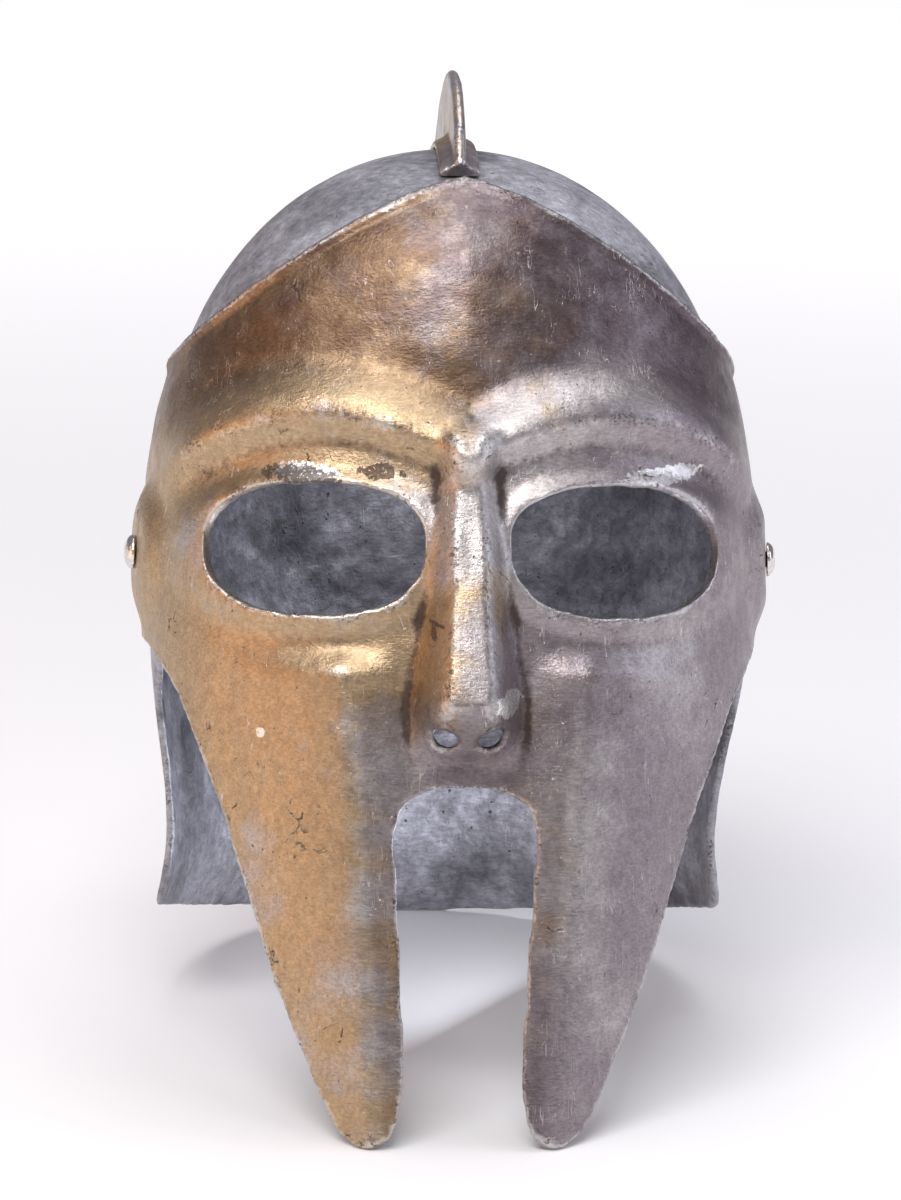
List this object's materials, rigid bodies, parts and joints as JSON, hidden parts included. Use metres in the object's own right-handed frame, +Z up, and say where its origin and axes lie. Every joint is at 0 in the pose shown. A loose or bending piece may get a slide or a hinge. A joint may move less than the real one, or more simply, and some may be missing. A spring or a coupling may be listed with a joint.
{
  "type": "gladiator helmet",
  "caption": "Masked gladiator helmet in worn pewter metal: face mask riveted over a round bowl with a comb and flared neck guard.",
  "frame": {"origin": "centre of the box of the helmet as it stands, on the ground", "axes": "+Z up, -Y the way the face looks (the helmet leans back 18 degrees as it stands), +X to the wearer's left"},
  "size_m": [0.2398, 0.297, 0.3505],
  "materials": {
    "worn_pewter": "cast, worn pewter patina with a bronze tint, dark in the recesses, bright on the edges",
    "rough_casting": "cast, rough and mottled, darker than the mask",
    "polished_rivet": "polished dome"
  },
  "bodies": {
    "root": {"face_mask": "worn_pewter", "skull_and_neck_guard": "rough_casting", "crest_comb": "worn_pewter", "temple_rivet_left": "polished_rivet", "temple_rivet_right": "polished_rivet", "skull_stud_1": "rough_casting", "skull_stud_2": "rough_casting", "skull_stud_3": "rough_casting", "skull_stud_4": "rough_casting"}
  },
  "joints": []
}
